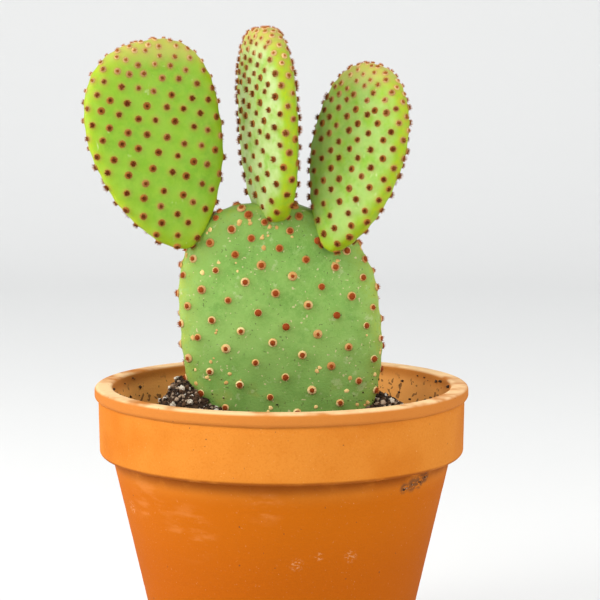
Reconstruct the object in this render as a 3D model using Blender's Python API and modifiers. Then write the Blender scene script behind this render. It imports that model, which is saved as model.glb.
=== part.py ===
"""Potted paddle cactus: three young pads grown from one old pad, standing in soil in a round clay pot.

Metres, +Z up. The pot's axis is Z, its foot stands on z = 0, and the broad old pad faces -Y.
"""

import math

import bmesh
import bpy
from mathutils import Matrix, Vector

MM = 0.001
GAP = 0.3 * MM

# Pot: a nominal 6 inch clay flowerpot, turned round Z.
POT_HEIGHT = 135 * MM
LIP_RADIUS = 75 * MM
LIP_INNER_RADIUS = 67.8 * MM
BEAD_HEIGHT = 5.1 * MM
BAND_RADIUS = 73.6 * MM
BAND_HEIGHT = 27.5 * MM
BODY_TOP_RADIUS = 68.2 * MM
FOOT_RADIUS = 44.0 * MM
FLOOR_THICKNESS = 7 * MM
DRAIN_RADIUS = 6.5 * MM
POT_STEPS = 72

# Soil: level near the wall, with low mounds that lean on the old pad.
SOIL_LEVEL = POT_HEIGHT - 18 * MM
SOIL_STEPS = 48
SOIL_RINGS = 12
# Each mound is (centre x, centre y, spread x, spread y, height).
SOIL_MOUNDS = (
    (-40 * MM, 4 * MM, 7 * MM, 13 * MM, 18 * MM),
    (40 * MM, 4 * MM, 9 * MM, 14 * MM, 11.5 * MM),
    (-26 * MM, -9 * MM, 12 * MM, 8 * MM, 7 * MM),
)

# Old pad: a thick barrel outline, widest above the lip, with its foot in the soil.
OLD_PAD_WIDTH = 80 * MM
OLD_PAD_THICKNESS = 20 * MM
OLD_PAD_FOOT = Vector((1.5, 0, 100.6)) * MM
OLD_PAD_LENGTH = 107.4 * MM
OLD_PAD_WIDEST = 60 * MM  # height of its widest place above its foot
OLD_PAD_SQUARENESS = 2.5
OLD_PAD_LEAN = -6.5 * MM

# Young pads: each is (foot, tip, width, thickness, turn of its face in degrees, foot power, tip power, bow).
# A positive turn brings the pad's right edge forward. The powers set how fast the outline opens at each end.
YOUNG_PADS = {
    "left_pad": ((-37.8, -6, 190.1), (-55.4, -8, 271.3), 54.4, 13, -17, 0.62, 0.37, -1.9),
    "middle_pad": ((-3.4, -3, 200.0), (-7.3, -3, 276.6), 44.7, 14, 66, 0.40, 0.35, 0.3),
    "right_pad": ((19.5, -11, 189.2), (36.3, -7, 262.6), 46, 13.5, 43, 0.66, 0.46, 1.8),
}
PAD_SECTION = 2.4  # power of a pad's cross section: 2 is an ellipse, and more makes a blunter edge
RIM_BLUNTNESS = 0.5  # a pad's thickness follows its width to this power, so the rim stays rounded
PAD_SEGMENTS = 32
PAD_RINGS = 22

# Grains of perlite on the soil: (x, y, across) in millimetres.
PERLITE_GRAINS = (
    (-41.5, 3, 2.6), (-44, -1, 2.2), (-39.5, -7, 2.8), (-36.5, -12.5, 2.8),
    (-42.5, -12, 3.0), (-48, 4, 2.4), (43.5, -2, 3.0), (48, 1, 2.4),
    (30, 46, 3.2), (-20, -42, 3.0), (12, -38, 2.6), (-34, 38, 3.0),
)  # fmt: skip
# Chips of bark on the soil: (x, y, length, turn in degrees), in millimetres.
BARK_CHIPS = (
    (-55, -8, 8, 20), (-30, -34, 9, -35), (2, -48, 7, 75), (26, -26, 8, 10),
    (56, -14, 7, 60), (16, 34, 9, -20), (-12, 44, 8, 40), (-52, 24, 7, -60),
)  # fmt: skip
BARK_WIDTH = 3.6 * MM
BARK_THICKNESS = 1.6 * MM


def clear_scene():
    for thing in list(bpy.data.objects):
        bpy.data.objects.remove(thing, do_unlink=True)


def new_collection(name):
    collection = bpy.data.collections.new(name)
    bpy.context.scene.collection.children.link(collection)
    return collection


def new_material(name, colour, roughness):
    material = bpy.data.materials.new(name)
    material.use_nodes = True
    shader = material.node_tree.nodes["Principled BSDF"]
    shader.inputs["Base Color"].default_value = (*colour, 1)
    shader.inputs["Roughness"].default_value = roughness
    shader.inputs["Metallic"].default_value = 0
    return material


def object_from(bm, name, collection, material=None):
    """Makes the bmesh a named, smooth-shaded object in the collection."""
    mesh = bpy.data.meshes.new(name)
    bm.to_mesh(mesh)
    bm.free()
    mesh.shade_smooth()
    thing = bpy.data.objects.new(name, mesh)
    collection.objects.link(thing)
    if material:
        mesh.materials.append(material)
    return thing


def cut(thing, cutter):
    """Takes the cutter's shape out of the object."""
    boolean = thing.modifiers.new(f"cut_by_{cutter.name}", "BOOLEAN")
    boolean.operation = "DIFFERENCE"
    boolean.object = cutter


def hide_cutter(cutter):
    cutter.hide_render = True
    cutter.display_type = "WIRE"


def corner(centre_r, centre_z, radius, start, end, steps=3):
    """Points of a rounded corner in the (r, z) plane, from the start angle to the end angle in degrees."""
    angles = (math.radians(start + (end - start) * i / steps) for i in range(steps + 1))
    return [(centre_r + radius * math.cos(a), centre_z + radius * math.sin(a)) for a in angles]


def inner_wall_radius(z):
    """The inside of the pot runs parallel to the outside of its body."""
    slope = (BODY_TOP_RADIUS - FOOT_RADIUS) / (POT_HEIGHT - BAND_HEIGHT)
    return LIP_INNER_RADIUS - slope * (POT_HEIGHT - z)


def pot_profile():
    """The pot's wall as a closed outline, down its outer side and back up its inner side."""
    lip_edge = 1.6 * MM
    groove_r = BAND_RADIUS - 0.3 * MM
    bead_foot = POT_HEIGHT - BEAD_HEIGHT
    band_foot = POT_HEIGHT - BAND_HEIGHT
    band_edge = 1.0 * MM
    foot_edge = 1.5 * MM
    floor_edge = 4 * MM
    floor_r = inner_wall_radius(FLOOR_THICKNESS) - 0.8 * floor_edge
    outer = corner(LIP_RADIUS - lip_edge, POT_HEIGHT - lip_edge, lip_edge, 90, 0, 4)
    outer += corner(LIP_RADIUS - lip_edge, bead_foot + lip_edge, lip_edge, 0, -60)
    outer += [(groove_r, bead_foot), (BAND_RADIUS, bead_foot - 0.6 * MM)]
    outer += corner(BAND_RADIUS - 0.4 * MM - band_edge, band_foot + band_edge, band_edge, 0, -90)
    outer += [(BODY_TOP_RADIUS, band_foot)]
    outer += corner(FOOT_RADIUS - foot_edge, foot_edge, foot_edge, 0, -90)
    drain = [(DRAIN_RADIUS, 0), (DRAIN_RADIUS, FLOOR_THICKNESS)]
    inner = corner(floor_r, FLOOR_THICKNESS + floor_edge, floor_edge, -90, -14)
    inner += corner(LIP_INNER_RADIUS + 0.9 * lip_edge, POT_HEIGHT - lip_edge, lip_edge, 180, 90)
    return outer + drain + inner


def make_pot(collection, material):
    bm = bmesh.new()
    points = [bm.verts.new((r, 0, z)) for r, z in pot_profile()]
    for here, after in zip(points, points[1:] + points[:1]):
        bm.edges.new((here, after))
    pot = object_from(bm, "pot", collection, material)
    turn = pot.modifiers.new("turned", "SCREW")
    turn.steps = turn.render_steps = POT_STEPS
    turn.use_merge_vertices = True
    turn.merge_threshold = 0.00001
    return pot


def soil_height(x, y):
    """Height of the soil's surface: level, plus the mounds."""
    height = SOIL_LEVEL
    for centre_x, centre_y, spread_x, spread_y, rise in SOIL_MOUNDS:
        away = ((x - centre_x) / spread_x) ** 2 + ((y - centre_y) / spread_y) ** 2
        height += rise * math.exp(-away / 2)
    return height


def soil_normal(x, y):
    step = 0.5 * MM
    slope_x = (soil_height(x + step, y) - soil_height(x - step, y)) / (2 * step)
    slope_y = (soil_height(x, y + step) - soil_height(x, y - step)) / (2 * step)
    return Vector((-slope_x, -slope_y, 1)).normalized()


def make_soil(collection, material, old_pad_space):
    """Soil fills the pot from its floor up. It is spun as a flat-topped plug, and its top is then raised."""
    floor_z = FLOOR_THICKNESS + GAP
    floor_r = inner_wall_radius(FLOOR_THICKNESS) - 4 * MM
    shoulder_z = floor_z + 5 * MM
    top_r = inner_wall_radius(SOIL_LEVEL) - GAP
    rings = [(top_r * (SOIL_RINGS - i) / SOIL_RINGS, SOIL_LEVEL) for i in range(SOIL_RINGS)]
    side = [(inner_wall_radius(shoulder_z) - GAP, shoulder_z), (floor_r, floor_z), (0, floor_z)]
    bm = bmesh.new()
    points = [bm.verts.new((r, 0, z)) for r, z in [(0, SOIL_LEVEL)] + rings[::-1] + side]
    edges = [bm.edges.new(pair) for pair in zip(points, points[1:])]
    full = 2 * math.pi
    bmesh.ops.spin(
        bm, geom=points + edges, cent=(0, 0, 0), axis=(0, 0, 1), angle=full, steps=SOIL_STEPS, use_merge=True
    )
    bmesh.ops.remove_doubles(bm, verts=bm.verts, dist=0.00001)
    for vert in bm.verts:
        if vert.co.z > SOIL_LEVEL - GAP and vert.co.xy.length < top_r - GAP:
            vert.co.z = soil_height(vert.co.x, vert.co.y)
    bmesh.ops.recalc_face_normals(bm, faces=bm.faces)
    soil = object_from(bm, "soil", collection, material)
    cut(soil, old_pad_space)
    return soil


def signed_power(value, power):
    return math.copysign(abs(value) ** power, value)


def section_point(angle, half_width, half_thickness):
    """A point on a pad's blunt oval cross section."""
    across = half_width * signed_power(math.cos(angle), 2 / PAD_SECTION)
    through = half_thickness * signed_power(math.sin(angle), 2 / PAD_SECTION)
    return across, through


def pad_mesh(half_width_at, half_thickness_at, middle_at, length):
    """A pad standing on z = 0: a sphere whose rings take the pad's width and thickness at their height."""
    bm = bmesh.new()
    bmesh.ops.create_uvsphere(bm, u_segments=PAD_SEGMENTS, v_segments=PAD_RINGS, radius=1)
    for vert in bm.verts:
        share = (vert.co.z + 1) / 2
        angle = math.atan2(vert.co.y, vert.co.x)
        across, through = section_point(angle, half_width_at(share), half_thickness_at(share))
        if vert.co.xy.length < 0.001:
            across = through = 0
        vert.co = (across + middle_at(share), through, share * length)
    return bm


def old_pad_mesh():
    widest = OLD_PAD_WIDEST / OLD_PAD_LENGTH

    def fullness(share):
        reach = (widest - share) / widest if share < widest else (share - widest) / (1 - widest)
        return max(0.0, 1 - reach**OLD_PAD_SQUARENESS) ** (1 / OLD_PAD_SQUARENESS)

    bm = pad_mesh(
        lambda share: OLD_PAD_WIDTH / 2 * fullness(share),
        lambda share: OLD_PAD_THICKNESS / 2 * fullness(share) ** RIM_BLUNTNESS,
        lambda share: OLD_PAD_LEAN * share**2,
        OLD_PAD_LENGTH,
    )
    bmesh.ops.translate(bm, verts=bm.verts, vec=OLD_PAD_FOOT)
    return bm


def young_pad_mesh(foot, tip, width, thickness, turn, foot_power, tip_power, bow):
    foot = Vector(foot) * MM
    rise = Vector(tip) * MM - foot
    peak = foot_power / (foot_power + tip_power)
    most = peak**foot_power * (1 - peak) ** tip_power

    def fullness(share):
        share = min(max(share, 0.0), 1.0)
        return share**foot_power * (1 - share) ** tip_power / most

    bm = pad_mesh(
        lambda share: width / 2 * MM * fullness(share),
        lambda share: thickness / 2 * MM * fullness(share) ** RIM_BLUNTNESS,
        lambda share: bow * MM * 4 * share * (1 - share),
        rise.length,
    )
    up = rise.normalized()
    right = Vector((math.cos(math.radians(turn)), -math.sin(math.radians(turn)), 0))
    right = (right - up * right.dot(up)).normalized()
    back = up.cross(right)
    place = Matrix((right, back, up)).transposed().to_4x4()
    place.translation = foot
    bmesh.ops.transform(bm, matrix=place, verts=bm.verts)
    return bm


def grown(bm, by):
    """The same shape, larger by a distance all round."""
    bm.normal_update()
    moves = [vert.normal * by for vert in bm.verts]
    for vert, move in zip(bm.verts, moves):
        vert.co += move
    return bm


def make_pads(collection, cutters, old_skin, young_skin):
    """The old pad stays whole. Each young pad is cut to fit against it where it grew."""
    object_from(old_pad_mesh(), "base_pad", collection, old_skin)
    space = object_from(grown(old_pad_mesh(), GAP), "old_pad_space", cutters)
    hide_cutter(space)
    for name, shape in YOUNG_PADS.items():
        young = object_from(young_pad_mesh(*shape), name, collection, young_skin)
        cut(young, space)
    return space


def lay_on_soil(bm, x, y, lift, turn):
    """Turns a small piece to the soil's slope and sets its middle at a height above the surface."""
    normal = soil_normal(x, y)
    tilt = Vector((0, 0, 1)).rotation_difference(normal).to_matrix().to_4x4()
    place = Matrix.Translation(Vector((x, y, soil_height(x, y))) + normal * lift)
    spin = Matrix.Rotation(math.radians(turn), 4, "Z")
    bmesh.ops.transform(bm, matrix=place @ tilt @ spin, verts=bm.verts)


def make_perlite(collection, material):
    for number, (x, y, across) in enumerate(PERLITE_GRAINS, start=1):
        radius = across / 2 * MM
        bm = bmesh.new()
        bmesh.ops.create_icosphere(bm, subdivisions=2, radius=radius)
        bmesh.ops.scale(bm, vec=(1.0, 0.85, 0.75), verts=bm.verts)
        lay_on_soil(bm, x * MM, y * MM, 0.75 * radius + 2 * GAP, 47 * number)
        object_from(bm, f"perlite_grain_{number}", collection, material)


def make_bark(collection, material):
    for number, (x, y, length, turn) in enumerate(BARK_CHIPS, start=1):
        bm = bmesh.new()
        bmesh.ops.create_cube(bm, size=1)
        bmesh.ops.scale(bm, vec=(length * MM, BARK_WIDTH, BARK_THICKNESS), verts=bm.verts)
        bmesh.ops.bevel(
            bm, geom=bm.edges, offset=0.5 * MM, segments=1, profile=0.5, affect="EDGES", material=-1
        )
        lay_on_soil(bm, x * MM, y * MM, BARK_THICKNESS / 2 + 3 * GAP, turn)
        object_from(bm, f"bark_chip_{number}", collection, material)


def main():
    clear_scene()
    parts = new_collection("potted_paddle_cactus")
    cutters = new_collection("cutters")
    clay = new_material("terracotta", (0.73, 0.27, 0.05), 0.75)
    earth = new_material("potting_soil", (0.035, 0.022, 0.014), 0.95)
    old_skin = new_material("old_pad_skin", (0.12, 0.29, 0.09), 0.55)
    young_skin = new_material("young_pad_skin", (0.25, 0.44, 0.05), 0.5)
    perlite = new_material("perlite", (0.82, 0.80, 0.74), 0.9)
    bark = new_material("bark", (0.10, 0.055, 0.03), 0.9)
    make_pot(parts, clay)
    old_pad_space = make_pads(parts, cutters, old_skin, young_skin)
    make_soil(parts, earth, old_pad_space)
    make_perlite(parts, perlite)
    make_bark(parts, bark)


main()
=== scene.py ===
"""Potted paddle cactus: the finished look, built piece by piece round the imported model, in metres."""

import math
import random
from bisect import bisect_right
from itertools import accumulate

import bmesh
import bpy
from mathutils import Matrix, Vector, noise
from mathutils.bvhtree import BVHTree
from mathutils.kdtree import KDTree


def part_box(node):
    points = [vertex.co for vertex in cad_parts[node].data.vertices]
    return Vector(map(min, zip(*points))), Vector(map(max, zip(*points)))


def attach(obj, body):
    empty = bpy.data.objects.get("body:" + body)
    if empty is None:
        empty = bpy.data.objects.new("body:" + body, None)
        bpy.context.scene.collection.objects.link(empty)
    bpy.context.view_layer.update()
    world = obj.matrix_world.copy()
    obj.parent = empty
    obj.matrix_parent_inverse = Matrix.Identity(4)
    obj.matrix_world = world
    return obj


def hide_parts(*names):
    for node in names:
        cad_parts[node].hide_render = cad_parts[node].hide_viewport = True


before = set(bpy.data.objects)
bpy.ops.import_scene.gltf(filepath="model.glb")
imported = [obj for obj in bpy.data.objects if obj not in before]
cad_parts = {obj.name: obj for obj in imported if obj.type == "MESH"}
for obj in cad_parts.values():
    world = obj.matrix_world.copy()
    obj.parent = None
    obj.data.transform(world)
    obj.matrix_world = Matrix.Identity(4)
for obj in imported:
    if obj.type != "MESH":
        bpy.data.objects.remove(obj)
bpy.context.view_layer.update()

MM = 0.001


# ---------------------------------------------------------------- clay pot
# A red earthenware flowerpot, pressed on a turning wheel and fired once with no glaze. It has a rolled bead
# and a thick band at the mouth, a plain taper below them, and one drain hole through its floor.

POT_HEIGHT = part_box("pot")[1][2]
LIP_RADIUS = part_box("pot")[1][0]
MOUTH_RADIUS = LIP_RADIUS - 7.2 * MM
BEAD_HEIGHT = 5.1 * MM
BAND_RADIUS = LIP_RADIUS - 1.4 * MM
BAND_HEIGHT = 27.5 * MM
BODY_TOP_RADIUS = 68.2 * MM
FOOT_RADIUS = 44.0 * MM
FLOOR_THICKNESS = 7 * MM
DRAIN_RADIUS = 6.5 * MM
WALL_SLOPE = (BODY_TOP_RADIUS - FOOT_RADIUS) / (POT_HEIGHT - BAND_HEIGHT)
WHEEL_STEPS = 200
SOIL_TOP = POT_HEIGHT - 18 * MM

CLAY_LIGHT = (0.60, 0.207, 0.025)
CLAY_DEEP = (0.465, 0.112, 0.001)
# A deeper clay colour, laid on low on the body as painted shade.
CLAY_LOW_SHADE = (0.40, 0.086, 0.0005)
# A darker clay colour, laid on the bead as painted shade.
CLAY_BEAD_SHADE = (0.50, 0.170, 0.032)
CLAY_PINK = (0.68, 0.27, 0.08)
# A paler clay colour, painted light on the inner wall.
CLAY_INSIDE_LIT = (0.93, 0.42, 0.11)
PALE_CREAM = (0.93, 0.66, 0.36)
SOIL_STAIN = (0.10, 0.045, 0.02)
# A deep clay brown, laid on as painted shade.
CLAY_SHADOW = (0.26, 0.058, 0.003)


def arc(centre_r, centre_z, radius, start, end, steps=6):
    """Points of a rounded edge, from the start angle to the end angle in degrees."""
    angles = (math.radians(start + (end - start) * i / steps) for i in range(steps + 1))
    return [(centre_r + radius * math.cos(a), centre_z + radius * math.sin(a)) for a in angles]


def wall_between(start, end, step=2.4 * MM):
    """Points spaced along a straight stretch of wall, without its two ends."""
    count = max(1, round(math.dist(start, end) / step))
    return [tuple(Vector(start).lerp(Vector(end), i / count)) for i in range(1, count)]


def inner_wall_radius(z):
    return MOUTH_RADIUS - WALL_SLOPE * (POT_HEIGHT - z)


def body_radius(z):
    return FOOT_RADIUS + WALL_SLOPE * z


def pot_outline():
    """The clay wall's section, down its outer side and back up its inner side."""
    lip_edge, band_edge, foot_edge, floor_edge = 1.6 * MM, 1.9 * MM, 1.5 * MM, 4 * MM
    bead_foot, band_foot = POT_HEIGHT - BEAD_HEIGHT, POT_HEIGHT - BAND_HEIGHT
    floor_r = inner_wall_radius(FLOOR_THICKNESS) - 0.8 * floor_edge
    bends = [
        arc(LIP_RADIUS - lip_edge, POT_HEIGHT - lip_edge, lip_edge, 90, 0),
        arc(LIP_RADIUS - lip_edge, bead_foot + lip_edge, lip_edge, 0, -62),
        [(BAND_RADIUS - 0.45 * MM, bead_foot - 0.1 * MM), (BAND_RADIUS - 0.1 * MM, bead_foot - 0.7 * MM)],
        arc(BAND_RADIUS - 0.4 * MM - band_edge, band_foot + band_edge, band_edge, 0, -88, 8),
        arc(BODY_TOP_RADIUS + 0.9 * MM, band_foot - 1.15 * MM, 1.1 * MM, 110, 192, 5),
        arc(FOOT_RADIUS - foot_edge, foot_edge, foot_edge, 0, -90),
        [(DRAIN_RADIUS + 0.8 * MM, 0), (DRAIN_RADIUS, 0.8 * MM)],
        [(DRAIN_RADIUS, FLOOR_THICKNESS - 0.8 * MM), (DRAIN_RADIUS + 0.8 * MM, FLOOR_THICKNESS)],
        arc(floor_r, FLOOR_THICKNESS + floor_edge, floor_edge, -90, -14),
        arc(MOUTH_RADIUS + 0.9 * lip_edge, POT_HEIGHT - lip_edge, lip_edge, 180, 90),
    ]
    outline = []
    for bend, after in zip(bends, bends[1:] + bends[:1]):
        outline += bend + wall_between(bend[-1], after[0])
    return outline


def turn_on_wheel(bm, outline, closed):
    """Spins an outline, given as (radius, height), once round the pot's axis."""
    points = [bm.verts.new((r, 0, z)) for r, z in outline]
    edges = [bm.edges.new(pair) for pair in zip(points, points[1:])]
    if closed:
        edges.append(bm.edges.new((points[-1], points[0])))
    bmesh.ops.spin(
        bm,
        geom=points + edges,
        cent=(0, 0, 0),
        axis=(0, 0, 1),
        angle=2 * math.pi,
        steps=WHEEL_STEPS,
        use_merge=True,
    )
    bmesh.ops.remove_doubles(bm, verts=bm.verts, dist=0.01 * MM)
    bmesh.ops.recalc_face_normals(bm, faces=bm.faces)


def set_down(bm, name, finish, slot, *nodes):
    """Makes a bmesh a smooth piece in its finish, riding on the one body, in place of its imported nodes."""
    mesh = bpy.data.meshes.new(name)
    bm.to_mesh(mesh)
    bm.free()
    mesh.shade_smooth()
    mesh.materials.append(finish)
    piece = bpy.data.objects.new(name, mesh)
    bpy.context.scene.collection.objects.link(piece)
    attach(piece, "root")
    if nodes:
        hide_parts(*nodes)


def new_finish(name, roughness, **constants):
    """A finish with one Principled shader, whose plain sockets are set here."""
    finish = bpy.data.materials.new(name)
    finish.use_nodes = True
    shader = finish.node_tree.nodes["Principled BSDF"]
    shader.inputs["Roughness"].default_value = roughness
    for socket, value in constants.items():
        shader.inputs[socket.replace("_", " ")].default_value = value
    return finish, shader


def add_node(finish, kind, sockets, **settings):
    """Adds a shader node, and fills its sockets with plain values or with other nodes' outputs."""
    made = finish.node_tree.nodes.new("ShaderNode" + kind)
    for name, value in settings.items():
        setattr(made, name, value)
    for socket, value in sockets.items():
        if isinstance(value, bpy.types.NodeSocket):
            finish.node_tree.links.new(value, made.inputs[socket])
        else:
            made.inputs[socket].default_value = value
    return made


def wire(finish, source, target):
    finish.node_tree.links.new(source, target)


def place_on_piece(finish):
    return add_node(finish, "TexCoord", {}).outputs["Object"]


def ramp(finish, value, low, high, bottom=0.0, top=1.0):
    """Goes smoothly from bottom, where the value is at low, to top, where it is at high."""
    sockets = {"Value": value, "From Min": low, "From Max": high, "To Min": bottom, "To Max": top}
    return add_node(finish, "MapRange", sockets, interpolation_type="SMOOTHSTEP").outputs["Result"]


def height_share(finish, low, high):
    height = add_node(finish, "SeparateXYZ", {"Vector": place_on_piece(finish)}).outputs["Z"]
    return ramp(finish, height, low, high)


def times(finish, first, second):
    return add_node(finish, "Math", {0: first, 1: second}, operation="MULTIPLY").outputs["Value"]


def clouds(finish, size, low, high, detail=3.0, stretch=(1, 1, 1)):
    """Soft random patches about as wide as size, cut between two levels of the noise."""
    placed = add_node(finish, "Mapping", {"Vector": place_on_piece(finish), "Scale": stretch})
    sockets = {
        "Vector": placed.outputs["Vector"],
        "Scale": 1 / size,
        "Detail": detail,
        "Roughness": 0.6,
    }
    return ramp(finish, add_node(finish, "TexNoise", sockets).outputs["Fac"], low, high)


def spot(finish, centre, radius, softness=0.6):
    """1 at a place on the piece, falling to 0 a radius away."""
    apart = add_node(finish, "VectorMath", {0: place_on_piece(finish), 1: centre}, operation="DISTANCE")
    return ramp(finish, apart.outputs["Value"], radius, radius * (1 - softness))


def tint(finish, share, under, over):
    """Lays one colour over another where the share is 1."""
    mix = add_node(finish, "Mix", {}, data_type="RGBA")
    for index, value in ((0, share), (6, under), (7, over)):
        if isinstance(value, bpy.types.NodeSocket):
            wire(finish, value, mix.inputs[index])
        elif index:
            mix.inputs[index].default_value = (*value, 1)
        else:
            mix.inputs[index].default_value = value
    return mix.outputs[2]


def add_relief(finish, shader, height, depth, strength):
    """Fine relief, too small to model, on top of any that the shader has already."""
    below = shader.inputs["Normal"]
    sockets = {"Height": height, "Distance": depth, "Strength": strength}
    if below.links:
        sockets["Normal"] = below.links[0].from_socket
    wire(finish, add_node(finish, "Bump", sockets).outputs["Normal"], below)


def on_pot(angle, z):
    """A place on the outside of the pot's body, at an angle from +X in degrees."""
    turn = math.radians(angle)
    return Vector((body_radius(z) * math.cos(turn), body_radius(z) * math.sin(turn), z))


# Pale scrapes, patches of salt and one smear of soil dried under the band, each as (place, radius).
SCRAPES = (
    (on_pot(-85, 75 * MM), 3.4 * MM),
    (on_pot(-77, 78 * MM), 2.4 * MM),
    (on_pot(-65, 77 * MM), 3.4 * MM),
    (on_pot(-156, 90 * MM), 4 * MM),
    (on_pot(58, 62 * MM), 6 * MM),
    (on_pot(140, 40 * MM), 5 * MM),
)
SALT_PATCHES = (
    (on_pot(-143, 95 * MM), 14 * MM),
    (on_pot(-124, 86 * MM), 15 * MM),
    (on_pot(-96, 99 * MM), 10 * MM),
    (on_pot(30, 88 * MM), 13 * MM),
    (on_pot(100, 96 * MM), 12 * MM),
)
SOIL_SMEAR = (
    (on_pot(-46, 101.8 * MM), 3 * MM),
    (on_pot(-42, 102.6 * MM), 4 * MM),
    (on_pot(-38, 103.2 * MM), 4 * MM),
    (on_pot(-35, 104.2 * MM), 3 * MM),
)
# Centre of the painted shade on the right-hand inner wall.
SHADED_INNER_SIDE = Vector((64 * MM, 0, POT_HEIGHT - 9 * MM))
OUT_OF_ROUND = 0.14 * MM
WHEEL_LINES = 0.04 * MM
GROOVE_WANDER = 0.35 * MM
GROOVE_REACH = 0.9 * MM


def fired_clay():
    """Layer on layer of colour, from the firing to the newest dirt, with painted shade and painted light laid
    in among them. Heights are above the pot's foot.
    """
    finish, shader = new_finish("fired_clay", 0.8, Specular_IOR_Level=0.09)
    firing = times(finish, clouds(finish, 45 * MM, 0.35, 0.7), 0.6)
    colour = tint(finish, firing, CLAY_LIGHT, CLAY_DEEP)
    # Painted shade: the body below the band slopes down, away from the light, so its clay colour is made
    # deeper, and deeper still lower down.
    shade_below_band = height_share(finish, 110 * MM, 96 * MM)
    colour = tint(finish, shade_below_band, colour, CLAY_DEEP)
    shade_low_down = times(finish, height_share(finish, 98 * MM, 62 * MM), 0.8)
    colour = tint(finish, shade_low_down, colour, CLAY_LOW_SHADE)
    dark_grain = times(finish, clouds(finish, 0.8 * MM, 0.45, 0.75), 0.3)
    colour = tint(finish, dark_grain, colour, CLAY_DEEP)
    pale_grain = times(finish, clouds(finish, 0.9 * MM, 0.64, 0.8), 0.25)
    colour = tint(finish, pale_grain, colour, PALE_CREAM)
    # Salts came through the wall and dried in faint patches, and a patchy painted shadow lies close under the
    # band.
    for centre, radius in SALT_PATCHES:
        dried = clouds(finish, 8 * MM, 0.46, 0.66, 6, (0.7, 0.7, 2.2))
        salts = times(finish, spot(finish, centre, radius), dried)
        colour = tint(finish, times(finish, salts, 0.22), colour, CLAY_PINK)
    shadow_foot = height_share(finish, 101 * MM, 106 * MM)
    shadow_top = height_share(finish, 109.2 * MM, 108.2 * MM)
    band_shadow = times(finish, times(finish, shadow_foot, shadow_top), clouds(finish, 16 * MM, 0.2, 0.5, 5))
    colour = tint(finish, times(finish, band_shadow, 0.8), colour, CLAY_SHADOW)
    # The bead is painted darker than the band, as painted shade, and the edge of the mouth is worn pale.
    bead_foot = POT_HEIGHT - BEAD_HEIGHT
    bead_shade = height_share(finish, bead_foot - 1 * MM, bead_foot + 0.5 * MM)
    colour = tint(finish, times(finish, bead_shade, 0.75), colour, CLAY_BEAD_SHADE)
    # The pale edge is partly wear and partly a painted sheen of grazing light.
    lip_rim = height_share(finish, POT_HEIGHT - 1.0 * MM, POT_HEIGHT)
    wear_and_sheen = times(finish, lip_rim, clouds(finish, 22 * MM, 0.33, 0.55))
    colour = tint(finish, times(finish, wear_and_sheen, 0.78), colour, PALE_CREAM)
    # Inside the mouth the clay colour is made paler, as painted light on the shaded inner wall, with soil
    # splashed up it, and painted shade over the right-hand side. Pits are left where grit fell out.
    flat = add_node(finish, "VectorMath", {0: place_on_piece(finish), 1: (1, 1, 0)}, operation="MULTIPLY")
    from_axis = add_node(finish, "VectorMath", {0: flat.outputs["Vector"]}, operation="LENGTH")
    within_wall = ramp(finish, from_axis.outputs["Value"], 67.6 * MM, 66.4 * MM)
    inside = times(finish, within_wall, height_share(finish, 109 * MM, 111 * MM))
    colour = tint(finish, times(finish, inside, 0.85), colour, CLAY_INSIDE_LIT)
    # Painted shade over the right-hand inner wall.
    inner_side_shade = times(finish, spot(finish, SHADED_INNER_SIDE, 75 * MM, 0.7), 0.38)
    colour = tint(finish, times(finish, inside, inner_side_shade), colour, CLAY_SHADOW)
    splash = times(finish, inside, clouds(finish, 3 * MM, 0.62, 0.65, 1))
    colour = tint(finish, times(finish, splash, 0.75), colour, SOIL_STAIN)
    pits = times(finish, clouds(finish, 1.9 * MM, 0.775, 0.795, 1), 0.7)
    colour = tint(finish, pits, colour, SOIL_STAIN)
    for centre, radius in SCRAPES:
        flakes = clouds(finish, 1.2 * MM, 0.50, 0.60, 4, (1, 1, 1.6))
        scrape = times(finish, spot(finish, centre, radius), flakes)
        colour = tint(finish, times(finish, scrape, 0.2), colour, PALE_CREAM)
    for centre, radius in SOIL_SMEAR:
        crust_left = clouds(finish, 2.4 * MM, 0.40, 0.50, 5, (1, 1, 2))
        smear = times(finish, spot(finish, centre, radius), crust_left)
        colour = tint(finish, times(finish, smear, 0.75), colour, SOIL_STAIN)
    wire(finish, colour, shader.inputs["Base Color"])
    add_relief(finish, shader, clouds(finish, 0.8 * MM, 0.2, 0.8, 4), 0.12 * MM, 0.6)
    add_relief(finish, shader, clouds(finish, 3 * MM, 0.3, 0.7, 2, (0.1, 0.1, 1)), 0.1 * MM, 0.5)
    return finish


bm = bmesh.new()
turn_on_wheel(bm, pot_outline(), closed=True)
for vert in bm.verts:
    angle = math.atan2(vert.co.y, vert.co.x)
    around = Vector((math.cos(angle), math.sin(angle), 0))
    # The wall is a little out of round, and the wheel has left fine lines in it.
    if vert.co.xy.length > DRAIN_RADIUS + 2 * MM and vert.co.z > 1 * MM:
        press = OUT_OF_ROUND * noise.noise(around * 1.7 + Vector((0, 0, vert.co.z * 18)))
        lines = WHEEL_LINES * noise.noise(Vector((around.x * 0.4, around.y * 0.4, vert.co.z * 620)))
        vert.co.xy += around.xy * (press + lines)
    # The groove under the bead wanders a little up and down.
    near_groove = math.exp(-(((vert.co.z - POT_HEIGHT + BEAD_HEIGHT) / GROOVE_REACH) ** 2))
    vert.co.z += near_groove * GROOVE_WANDER * noise.noise(around * 5)
set_down(bm, "clay_pot", fired_clay(), "terracotta", "pot")


# ---------------------------------------------------------------- potting soil
# Peat and composted bark fill the pot and rise in low mounds against the old pad. The surface is a crust
# of crumbs, with loose crumbs and root fibres lying on it, and a few crumbs dried onto the clay.

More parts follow.
